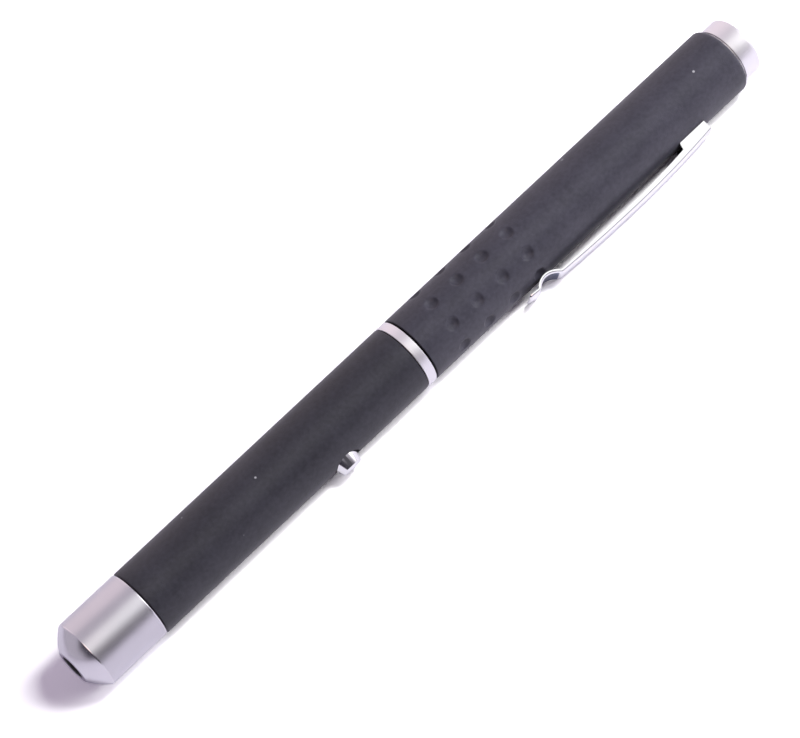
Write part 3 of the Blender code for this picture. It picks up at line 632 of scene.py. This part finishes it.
def makeButton():
    top = barrelRadius + button["proud"]
    radius, topRadius, crown = button["radius"], button["topRadius"], button["crown"]
    corners = [
        (button["flangeBase"], 0.0),
        (button["flangeBase"], button["flangeRadius"]),
        (button["flangeTop"], button["flangeRadius"], button["flangeEase"]),
        (button["flangeTop"], radius),
        (button["taperFrom"], radius, button["taperEase"]),
        (top - crown, topRadius, button["edge"]),
        *[(top - crown * share**2, topRadius * share) for share in button["crownShares"]],
    ]
    bm = bmesh.new()
    addTurned(bm, easedProfile(corners), button["facets"], "z", (buttonPlace(), 0.0, 0.0))
    finishPiece("buttonCap", bm, "button", [chromePlate], ["button_cap"])


makeButton()
print("button is made")


# Joint: bright ring and the sleeve with its thread

joint = {
    "ringBore": 6.0,
    "ringEdge": 0.16,
    "spigotBore": 5.4,
    "crest": 5.85,
    "root": 5.52,
    "pitch": 0.75,
    "flank": 2.6,  # how steeply a turn rises from its root to its crest
    "plain": 0.6,
    "facets": 120,
    "stationsPerTurn": 10,
}


def makeRing():
    start, end = nodeSpan("trim_ring")
    corners = [
        (start, joint["ringBore"]),
        (start, barrelRadius, joint["ringEdge"]),
        (end, barrelRadius, joint["ringEdge"]),
        (end, joint["ringBore"]),
    ]
    bm = bmesh.new()
    addTurned(bm, easedProfile(corners))
    finishPiece("trimRing", bm, "front", [paintedLightSilver], ["trim_ring"])


def makeThread():
    # The sleeve's outside is a grid whose radius follows the helix, with plain ends
    start, end = nodeSpan("thread_spigot")
    threadStart = nodeSpan("trim_ring")[1]
    crest, plain = joint["crest"], joint["plain"]
    count = round((end - threadStart) / joint["pitch"] * joint["stationsPerTurn"])
    profile = [(start, joint["spigotBore"]), (start, crest)]
    profile += [(between(threadStart, end, step / count), crest) for step in range(count + 1)]
    profile.append((end, joint["spigotBore"]))
    # Painted shade: the stretch beside the ring is blackened, so that the closed joint shows a dark line
    # and no brass
    slots = [1 if along < threadStart + plain else 0 for along, radius in profile]
    bm = bmesh.new()
    addTurned(bm, profile, joint["facets"], slots=slots)
    for vert in bm.verts:
        radius = math.hypot(vert.co.y, vert.co.z)
        if radius < (crest + joint["spigotBore"]) / 2 or vert.co.x < threadStart:
            continue
        turn = math.atan2(vert.co.y, vert.co.z) / (2 * math.pi)
        phase = (vert.co.x / joint["pitch"] - turn) % 1.0
        cut = min(1.0, joint["flank"] * min(phase, 1 - phase))
        fade = min(1.0, max(0.0, (end - plain / 2 - vert.co.x) / plain))
        fade *= min(1.0, (vert.co.x - threadStart) / plain)
        wanted = crest - (crest - joint["root"]) * (1 - cut) * fade
        vert.co.y *= wanted / radius
        vert.co.z *= wanted / radius
    finishPiece("threadSleeve", bm, "front", [turnedBrass, paintedRecessShade], ["thread_spigot"])


makeRing()
makeThread()
print("joint is made")


# Rear half: rows of shallow round dimples and a rounded end

rearHalf = {
    "bore": 5.55,
    "threadBore": 6.0,
    "threadRelief": 0.7,
    "startEdge": 0.16,
    "endRound": 1.0,
    "endInnerEase": 0.1,
    "roundSteps": 8,
    "facets": 264,
    "plainStations": 14,
    "dimpleStart": 6.6,
    "dimplePitch": 6.0,
    "dimpleStations": 4,
    "dimpleRows": 8,
    "dimpleRadius": 1.25,
    "dimpleDepth": 0.60,
    "dimpleLip": 0.05,
    "column": 0.17,  # spacing of the mesh where the dimples are
}


def dimpleDepth(along, angle):
    # How deep the ball-shaped dimples go at one place of the surface
    radius, deepest = rearHalf["dimpleRadius"], rearHalf["dimpleDepth"]
    ball = (radius**2 + deepest**2) / (2 * deepest)
    depth = 0.0
    for row in range(rearHalf["dimpleRows"]):
        away = angle - 2 * math.pi * (row + 0.5) / rearHalf["dimpleRows"]
        away = (away + math.pi) % (2 * math.pi) - math.pi
        if abs(away) * barrelRadius > 2 * radius:
            continue
        for station in range(rearHalf["dimpleStations"]):
            ahead = along - rearHalf["dimpleStart"] - station * rearHalf["dimplePitch"]
            reach = math.hypot(ahead, away * barrelRadius)
            if reach < min(ball, 2 * radius):
                below = math.sqrt(ball**2 - reach**2) - ball + deepest
                depth += softClamp(below, rearHalf["dimpleLip"])
    return depth


def makeRearHalf():
    start, end = nodeSpan("rear_barrel")
    threadEnd = nodeSpan("thread_spigot")[1] + rearHalf["threadRelief"]
    radius, stations = rearHalf["dimpleRadius"], rearHalf["dimpleStations"]
    zoneStart = start + rearHalf["dimpleStart"] - 2 * radius
    zoneEnd = zoneStart + (stations - 1) * rearHalf["dimplePitch"] + 4 * radius
    plainEnd = end - 2 * rearHalf["endRound"]
    count = round((zoneEnd - zoneStart) / rearHalf["column"])
    columns = [between(zoneStart, zoneEnd, step / count) for step in range(count + 1)]
    count = rearHalf["plainStations"]
    columns += [between(zoneEnd, plainEnd, step / count) for step in range(1, count + 1)]
    corners = [
        (start, rearHalf["threadBore"]),
        (start, barrelRadius, rearHalf["startEdge"]),
        *[(column, barrelRadius) for column in columns],
        (end, barrelRadius, rearHalf["endRound"]),
        (end, rearHalf["bore"], rearHalf["endInnerEase"]),
        (threadEnd, rearHalf["bore"]),
        (threadEnd, rearHalf["threadBore"]),
    ]
    bm = bmesh.new()
    addTurned(bm, easedProfile(corners, rearHalf["roundSteps"]), rearHalf["facets"])
    for vert in bm.verts:
        outside = math.hypot(vert.co.y, vert.co.z) > (barrelRadius + rearHalf["threadBore"]) / 2
        if outside and zoneStart < vert.co.x < zoneEnd:
            depth = dimpleDepth(vert.co.x - start, math.atan2(vert.co.y, vert.co.z))
            vert.co.y *= 1 - depth / barrelRadius
            vert.co.z *= 1 - depth / barrelRadius
    # The lighter rear copy of the coat: painted light
    return finishPiece("rearHalf", bm, "rear", [rearCoatPaintedLight], ["rear_barrel"])


rearTube = makeRearHalf()
print("rear half is made")


# Clip: one pressed sheet, bowed along its length, dipped to the barrel near its tip, closed at its
# root and held by a tab in the rear half's slot

clip = {
    "halfWidth": 2.3,
    "sheet": 0.5,
    "innerCorner": 0.2,
    "leastRoom": 0.04,
    "seatGap": 0.05,
    "crest": 2.5,
    "crestShare": 0.58,
    "tipHeight": 1.5,
    "rootHeight": 1.6,
    "crown": 0.10,
    "shoulderWidth": 0.46,
    "shoulderHeight": 0.36,
    "wallAtWave": 0.50,
    "wallAtRoot": 1.25,
    "rootBlock": 6.4,
    "rootEase": 0.5,
    "tipRound": 1.1,
    "tipWidthShare": 0.72,
    "waveFromTip": 4.8,
    "waveReach": 2.5,
    "waveGap": 0.04,
    "waveEdgeShare": 0.92,
    "waveSoft": 0.06,
    "paintedHollowReach": 0.8,
    "tabLength": 3.6,
    "tabWidth": 2.6,
    "tabFromEnd": 0.8,
    "tabReach": 0.7,
    "slotClearance": 0.4,
    "slotFrom": 4.5,
    "slotTo": 7.5,
    # fineness of the mesh
    "shoulderSteps": 6,
    "backSteps": 8,
    "tipSteps": 8,
    "waveSteps": 48,
    "waveMargin": 0.6,
    "armSteps": 36,
    "easeSteps": 6,
    "blockSteps": 8,
    "slopeStep": 0.02,
    "weld": 0.002,
    "sharpAngle": 40,
}


def tabMiddle():
    return nodeSpan("clip")[1] - clip["tabFromEnd"] - clip["tabLength"] / 2


def cutSlot():
    # Room in the rear half for the clip's tab
    low, high, room = clip["slotFrom"], clip["slotTo"], clip["slotClearance"]
    bm = bmesh.new()
    size = (clip["tabLength"] + room, clip["tabWidth"] + room, high - low)
    addBlock(bm, (tabMiddle(), 0.0, (low + high) / 2), size)
    applyCut(rearTube, finishPiece("clipSlot", bm, None, [rearCoatPaintedLight]))


def clipBack(place, length):
    # Height of the bowed back over the barrel
    share = place / length
    if share < clip["crestShare"]:
        away = (clip["crestShare"] - share) / clip["crestShare"]
        return barrelRadius + clip["crest"] - (clip["crest"] - clip["tipHeight"]) * away**2
    away = (share - clip["crestShare"]) / (1 - clip["crestShare"])
    return barrelRadius + clip["crest"] - (clip["crest"] - clip["rootHeight"]) * away**2


def clipDip(place, length, across):
    # How far the wave takes the sheet down; across is 0 at the middle line and 1 at the edges
    offset = (place - clip["waveFromTip"]) / clip["waveReach"]
    rise = clipBack(clip["waveFromTip"], length) - barrelRadius
    depth = rise + clip["crown"] - clip["sheet"] - clip["waveGap"]
    depth *= softClamp(1 - offset**2, clip["waveSoft"])
    return depth * (1 - (1 - clip["waveEdgeShare"]) * across**2)


def clipTop(place, length, across):
    return clipBack(place, length) + clip["crown"] * (1 - across**2) - clipDip(place, length, across)


def clipSection(place, length, solid=False):
    # The sheet's outline at one station: over the outside, then back along the inside,
    # which lies on the barrel where the root is solid
    waveEnd = clip["waveFromTip"] + clip["waveReach"]
    blockStart = length - clip["rootBlock"]
    toTip = min(1.0, place / clip["tipRound"])
    widening = math.sqrt(max(0.0, 1 - (1 - toTip) ** 2))
    half = clip["halfWidth"] * (clip["tipWidthShare"] + (1 - clip["tipWidthShare"]) * widening)
    ahead = clipTop(place + clip["slopeStep"], length, 1.0)
    behind = clipTop(place - clip["slopeStep"], length, 1.0)
    slope = (ahead - behind) / (2 * clip["slopeStep"])
    thick = clip["sheet"] * math.sqrt(1 + slope**2)
    share = min(1.0, max(0.0, place - waveEnd) / (blockStart - waveEnd))
    wall = clip["wallAtWave"] + (clip["wallAtRoot"] - clip["wallAtWave"]) * share
    edgeTop = clipTop(place, length, 1.0)
    base = min(edgeTop - wall, edgeTop - thick - clip["leastRoom"])
    seat = math.sqrt(barrelRadius**2 - half**2) + clip["seatGap"]
    toBlock = min(1.0, max(0.0, (place - blockStart) / clip["rootEase"]))
    base += (seat - base) * math.sin(toBlock * math.pi / 2)
    # The inner corner is no taller than half the height that is left over the rim
    room = edgeTop - thick - base
    corner = min(clip["innerCorner"], room / 2)
    flat = half - clip["shoulderWidth"]
    outer = [(-half, base), (-half, (base + edgeTop - clip["shoulderHeight"]) / 2)]
    inner = [(-half + clip["sheet"], base), (-half + clip["sheet"], base + room / 4)]
    for turn in range(clip["shoulderSteps"] + 1):
        angle = math.pi / 2 * turn / clip["shoulderSteps"]
        y = -flat - clip["shoulderWidth"] * math.cos(angle)
        drop = clip["shoulderHeight"] * (1 - math.sin(angle))
        outer.append((y, clipTop(place, length, abs(y) / half) - drop))
        y = -(half - clip["sheet"]) + clip["innerCorner"] * (1 - math.cos(angle))
        drop = corner * (1 - math.sin(angle))
        inner.append((y, max(base, clipTop(place, length, abs(y) / half) - thick - drop)))
    mirrored = len(outer)
    for turn in range(1, clip["backSteps"]):
        share = turn / clip["backSteps"]
        y = -flat + 2 * flat * share
        outer.append((y, clipTop(place, length, abs(y) / half)))
        reach = half - clip["sheet"] - clip["innerCorner"]
        y = -reach + 2 * reach * share
        inner.append((y, max(base, clipTop(place, length, abs(y) / half) - thick)))
    outer += [(-y, z) for y, z in reversed(outer[:mirrored])]
    inner += [(-y, z) for y, z in reversed(inner[:mirrored])]
    if solid:
        reach = half - clip["sheet"]
        floor = []
        for y, z in inner:
            y = max(-reach, min(reach, y))
            floor.append((y, math.sqrt(barrelRadius**2 - y * y) + clip["seatGap"]))
        inner = floor
    return outer + inner[::-1]


def clipPlaces(length):
    # Stations along the clip, closest in the round tip, the wave and the start of the root block
    waveStart = clip["waveFromTip"] - clip["waveReach"] - clip["waveMargin"]
    waveEnd = clip["waveFromTip"] + clip["waveReach"] + clip["waveMargin"]
    blockStart = length - clip["rootBlock"]
    eased = blockStart + clip["rootEase"]
    count = clip["tipSteps"]
    places = [clip["tipRound"] * (1 - math.cos(math.pi / 2 * step / count)) for step in range(count + 1)]
    places.append(waveStart)
    zones = (
        (waveStart, waveEnd, clip["waveSteps"]),
        (waveEnd, blockStart, clip["armSteps"]),
        (blockStart, eased, clip["easeSteps"]),
        (eased, length - clip["sheet"], clip["blockSteps"]),
    )
    for first, last, count in zones:
        places += [between(first, last, step / count) for step in range(1, count + 1)]
    return places


def makeClip():
    start, end = nodeSpan("clip")
    length = end - start
    sections = [(place, clipSection(place, length)) for place in clipPlaces(length)]
    for place in (length - clip["sheet"], length):
        sections.append((place, clipSection(place, length, solid=True)))
    bm = bmesh.new()
    rings = [[bm.verts.new((start + place, y, z)) for y, z in section] for place, section in sections]
    # Painted shade: the hollow of the wave gets the dark metal, for the shaded floor that it mirrors, but
    # its rims do not
    hollowReach = clip["paintedHollowReach"] * clip["waveReach"]
    rimSteps = clip["shoulderSteps"] + 2
    hollowSteps = range(rimSteps, rimSteps + clip["backSteps"])
    for near, far in zip(rings, rings[1:]):
        inHollow = abs(near[0].co.x - start - clip["waveFromTip"]) < hollowReach
        for step in range(len(near)):
            after = (step + 1) % len(near)
            face = bm.faces.new((near[step], near[after], far[after], far[step]))
            face.material_index = 1 if inHollow and step in hollowSteps else 0
    half = len(rings[0]) // 2
    for ring in (rings[0], rings[-1]):
        for step in range(half - 1):
            bm.faces.new((ring[step], ring[step + 1], ring[-2 - step], ring[-1 - step]))
    bmesh.ops.remove_doubles(bm, verts=bm.verts, dist=clip["weld"])
    bmesh.ops.dissolve_degenerate(bm, edges=bm.edges, dist=clip["weld"] / 4)
    finishes = [chromePlate, paintedWaveShade]
    sharp = clip["sharpAngle"]
    piece = finishPiece("clipSpring", bm, "clip_arm", finishes, ["clip"], sharp)
    tabBase = barrelRadius - clip["tabReach"]
    tabTop = barrelRadius + clip["rootHeight"] - clip["sheet"] / 2
    bm = bmesh.new()
    size = (clip["tabLength"], clip["tabWidth"], tabTop - tabBase)
    addBlock(bm, (tabMiddle(), 0.0, (tabBase + tabTop) / 2), size)
    applyCut(piece, finishPiece("clipTab", bm, None, [chromePlate]), "UNION", sharp)


cutSlot()
makeClip()
print("clip is made")


# Tail plug

tail = {
    "headRadius": 5.75,
    "headRound": 0.8,
    "headLength": 3.8,
    "plugRadius": 5.4,
    "plugBore": 4.6,
    "edge": 0.1,
    "wall": 1.3,
    # the shallow dish in its end
    "dishRim": 3.565,
    "dishFloor": 3.335,
    "dishDepth": 0.08,
    "dishEases": (0.3, 0.1),
}


def makeTail():
    start, end = nodeSpan("tail_cap")
    headStart = end - tail["headLength"]
    dish = end - tail["dishDepth"]
    rimEase, floorEase = tail["dishEases"]
    corners = [
        (start, tail["plugBore"]),
        (start, tail["plugRadius"], tail["edge"]),
        (headStart, tail["plugRadius"]),
        (headStart, tail["headRadius"], tail["edge"]),
        (end, tail["headRadius"], tail["headRound"]),
        (end, tail["dishRim"], rimEase),
        (dish, tail["dishFloor"], floorEase),
        (dish, 0.0),
        (end - tail["wall"], 0.0),
        (end - tail["wall"], tail["plugBore"]),
    ]
    bm = bmesh.new()
    addTurned(bm, easedProfile(corners))
    finishPiece("tailPlug", bm, "rear", [paintedLightSilver], ["tail_cap"])


makeTail()
print("tail is made")


# Cells: a wrap that turns in over both ends, a pressed top with its nub, and a flat base

cell = {
    "radius": 5.15,
    "edge": 0.4,
    "nubRadius": 1.9,
    "nubHeight": 1.0,
    "nubEases": (0.3, 0.12),
    "topDrop": 0.12,
    "wrapLip": 0.9,
    "wrapEdge": 0.04,
    "footRadius": 3.2,
    "footHeight": 0.3,
    "footDrop": 0.1,
    "footEases": (0.1, 0.2),
    "facets": 96,
}


def makeCell(name, node):
    start, end = nodeSpan(node)
    shoulder = start + cell["nubHeight"]
    top = shoulder + cell["topDrop"]
    base = end - cell["footHeight"]
    foot = base - cell["footDrop"]
    lip = cell["radius"] - cell["wrapLip"]
    nubTip, nubRoot = cell["nubEases"]
    footRoot, footTip = cell["footEases"]
    corners = [
        (start, 0.0),
        (start, cell["nubRadius"], nubTip),
        (top, cell["nubRadius"], nubRoot),
        (top, lip),
        (shoulder, lip, cell["wrapEdge"]),
        (shoulder, cell["radius"], cell["edge"]),
        (base, cell["radius"], cell["edge"]),
        (base, lip, cell["wrapEdge"]),
        (foot, lip),
        (foot, cell["footRadius"], footRoot),
        (end, cell["footRadius"], footTip),
        (end, 0.0),
    ]
    points = easedProfile(corners)
    slots = []
    for index, point in enumerate(points):
        after = points[(index + 1) % len(points)]
        slots.append(0 if min(point[1], after[1]) > lip - cell["wrapEdge"] else 1)
    bm = bmesh.new()
    addTurned(bm, points, cell["facets"], slots=slots)
    finishPiece(name, bm, "cells", [cellWrap, plainSteel], [node])


makeCell("frontCell", "front_cell")
makeCell("rearCell", "rear_cell")
print("cells are made")


# Contact springs, as smooth wire that winds from its start radius to its end radius

springTurnSteps = 36
springs = {
    "frontSpring": {
        "node": "front_contact_spring",
        "body": "front",
        "wire": 0.4,
        "start": 3.1,
        "end": 1.5,
        "turns": 2.0,
    },
    "tailSpring": {
        "node": "tail_spring",
        "body": "rear",
        "wire": 0.5,
        "start": 2.0,
        "end": 3.6,
        "turns": 3.5,
    },
}


def makeSpring(name, settings):
    start, end = nodeSpan(settings["node"])
    wire = settings["wire"]
    curve = bpy.data.curves.new(name, "CURVE")
    curve.dimensions = "3D"
    curve.bevel_depth = wire / 2 * mm
    curve.bevel_resolution = 4
    curve.use_fill_caps = True
    count = round(settings["turns"] * springTurnSteps)
    points = []
    for step in range(count + 1):
        share = step / count
        angle = 2 * math.pi * settings["turns"] * share
        radius = between(settings["start"], settings["end"], share)
        along = between(start + wire, end - wire, share)
        points.append((along, radius * math.cos(angle), radius * math.sin(angle)))
    # Short straight ends, to the full length of the node
    points.insert(0, (start, *points[0][1:]))
    points.append((end, *points[-1][1:]))
    line = curve.splines.new("POLY")
    line.points.add(len(points) - 1)
    for point, place in zip(line.points, points):
        point.co = (*(penMatrix @ (Vector(place) * mm)), 1.0)
    curve.materials.append(plainSteel)
    spring = bpy.data.objects.new(name, curve)
    bpy.context.scene.collection.objects.link(spring)
    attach(spring, settings["body"])
    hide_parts(settings["node"])


for springName, springSettings in springs.items():
    makeSpring(springName, springSettings)
print("springs are made")


# Finishes of the solids that are kept as they are

keptFinish = {
    "lens_cell": turnedBrass,
    "collimating_lens": clearGlass,
    "module_housing": turnedBrass,
    "ir_filter": filterGlass,
    "expander_ring": turnedBrass,
    "expander_lens": clearGlass,
    "crystal_mount": turnedCopper,
    "laser_crystal": crystalGlass,
    "diode_ring": turnedCopper,
    "pump_diode": plainSteel,
    "driver_board": boardLacquer,
    "driver_chip": blackPlastic,
    "trimmer": bluePlastic,
    "capacitor_front": yellowPlastic,
    "capacitor_rear": yellowPlastic,
    "tact_switch": blackPlastic,
    "switch_plunger": blackPlastic,
}
for nodeName, finish in keptFinish.items():
    mesh = frame["nodes"][nodeName].data
    mesh.materials.clear()
    mesh.materials.append(finish)
print("kept solids have their finishes")


# Floor, light and camera

studio = {
    "floorReach": 3.0,  # metres from its middle to its edges
    "floorColour": (0.80, 0.79, 0.81, 1.0),
    "floorSeen": (1.5, 1.5, 1.5, 1.0),  # for camera and transmission rays
    "floorMirrored": (0.80, 0.78, 0.86, 1.0),  # for glossy rays
    # place in metres, size, power
    "lamps": {
        "keyLight": ((0.245, -0.20, 0.444), (0.15, 0.15), 2.3),
        "fillLight": ((0.90, -0.72, 0.34), (0.60, 0.45), 12.5),
    },
    "ambient": (0.258, 0.218, 0.290, 1.0),  # what rough surfaces gather from the room
    # what shiny surfaces mirror: the room and its panels, as direction, full and faded half-angle, colour
    "room": (0.50, 0.46, 0.54, 1.0),
    "panels": (
        ((0.26, -0.52, 0.81), 13.0, 28.0, (1.15, 1.15, 1.18, 1.0)),
        ((0.26, 0.85, 0.40), 30.0, 48.0, (0.92, 0.80, 0.88, 1.0)),
        ((-0.66, -0.72, 0.22), 10.0, 24.0, (0.06, 0.055, 0.07, 1.0)),
        ((-0.25, -0.94, 0.22), 10.0, 24.0, (0.06, 0.055, 0.07, 1.0)),
        ((0.30, -0.93, 0.21), 10.0, 22.0, (0.15, 0.14, 0.17, 1.0)),
        ((0.00, -0.87, 0.50), 8.0, 18.0, (0.08, 0.075, 0.09, 1.0)),
        ((-0.86, -0.40, 0.32), 12.0, 25.0, (0.03, 0.025, 0.04, 1.0)),
        ((-0.82, -0.10, 0.56), 13.0, 26.0, (0.03, 0.025, 0.04, 1.0)),
        ((-0.37, -0.43, 0.82), 14.0, 25.0, (1.50, 1.25, 1.22, 1.0)),
        ((0.82, -0.34, 0.46), 12.0, 28.0, (2.20, 2.18, 2.22, 1.0)),
    ),
}


def makeFloor():
    bm = bmesh.new()
    bmesh.ops.create_grid(bm, x_segments=1, y_segments=1, size=studio["floorReach"])
    mesh = bpy.data.meshes.new("floor")
    bm.to_mesh(mesh)
    bm.free()
    floor = bpy.data.objects.new("floor", mesh)
    bpy.context.scene.collection.objects.link(floor)
    material, tree, shader = newMaterial("floorPaper", {"Roughness": 0.9, "Specular IOR Level": 0.1})
    path = addNode(tree, "ShaderNodeLightPath").outputs
    mirrored = mixColours(tree, path["Is Glossy Ray"], studio["floorColour"], studio["floorMirrored"])
    seen = mathNode(tree, "ADD", path["Is Camera Ray"], path["Is Transmission Ray"], clamp=True)
    tree.links.new(mixColours(tree, seen, mirrored, studio["floorSeen"]), shader.inputs["Base Color"])
    mesh.materials.append(material)


def addLight(name, place, size, power):
    lamp = bpy.data.lights.new(name, "AREA")
    lamp.energy = power
    lamp.shape = "RECTANGLE"
    lamp.size, lamp.size_y = size
    light = bpy.data.objects.new(name, lamp)
    light.location = place
    light.rotation_euler = (-Vector(place)).to_track_quat("-Z", "Y").to_euler()
    light.visible_glossy = False
    bpy.context.scene.collection.objects.link(light)


def softPanel(tree, towards, direction, full, faded):
    # 1 within the full half-angle, and 0 beyond the faded one
    values = {0: towards, 1: Vector(direction).normalized()}
    facing = addNode(tree, "ShaderNodeVectorMath", values, operation="DOT_PRODUCT").outputs["Value"]
    edges = {
        "Value": facing,
        "From Min": math.cos(math.radians(faded)),
        "From Max": math.cos(math.radians(full)),
    }
    return addNode(tree, "ShaderNodeMapRange", edges, interpolation_type="SMOOTHSTEP").outputs[0]


def makeWorld():
    world = bpy.data.worlds.new("studioWorld")
    world.use_nodes = True
    tree = world.node_tree
    towards = addNode(tree, "ShaderNodeTexCoord").outputs["Generated"]
    mirrored = studio["room"]
    for *panel, tint in studio["panels"]:
        mirrored = mixColours(tree, softPanel(tree, towards, *panel), mirrored, tint)
    diffuse = addNode(tree, "ShaderNodeLightPath").outputs["Is Diffuse Ray"]
    colour = mixColours(tree, diffuse, mirrored, studio["ambient"])
    tree.links.new(colour, tree.nodes["Background"].inputs["Color"])
    bpy.context.scene.world = world


cameraSettings = {
    "place": (-67.8, 536.5, 82.0),  # mm in the pen's frame
    "target": (79.45, 0.0, 0.0),
    "penTilt": 43.18,  # degrees from the picture's right up to the tail
    "lens": 150.2,
    "sensor": 36.0,
    "shift": (-0.0214, -0.031),
    "clipStart": 0.01,
}


def makeCamera():
    place = penMatrix @ (Vector(cameraSettings["place"]) * mm)
    target = penMatrix @ (Vector(cameraSettings["target"]) * mm)
    back = (place - target).normalized()
    tailward = (alongPen - back * alongPen.dot(back)).normalized()
    right = Matrix.Rotation(-math.radians(cameraSettings["penTilt"]), 3, back) @ tailward
    up = back.cross(right)
    data = bpy.data.cameras.new("camera")
    data.lens = cameraSettings["lens"]
    data.sensor_fit = "HORIZONTAL"
    data.sensor_width = cameraSettings["sensor"]
    data.shift_x, data.shift_y = cameraSettings["shift"]
    data.clip_start = cameraSettings["clipStart"]
    camera = bpy.data.objects.new("camera", data)
    camera.matrix_world = Matrix.Translation(place) @ Matrix((right, up, back)).transposed().to_4x4()
    bpy.context.scene.collection.objects.link(camera)
    bpy.context.scene.camera = camera


makeFloor()
for lampName, lampSettings in studio["lamps"].items():
    addLight(lampName, *lampSettings)
makeWorld()
makeCamera()
bpy.context.scene.view_settings.view_transform = "Standard"
print("floor, light and camera are set")
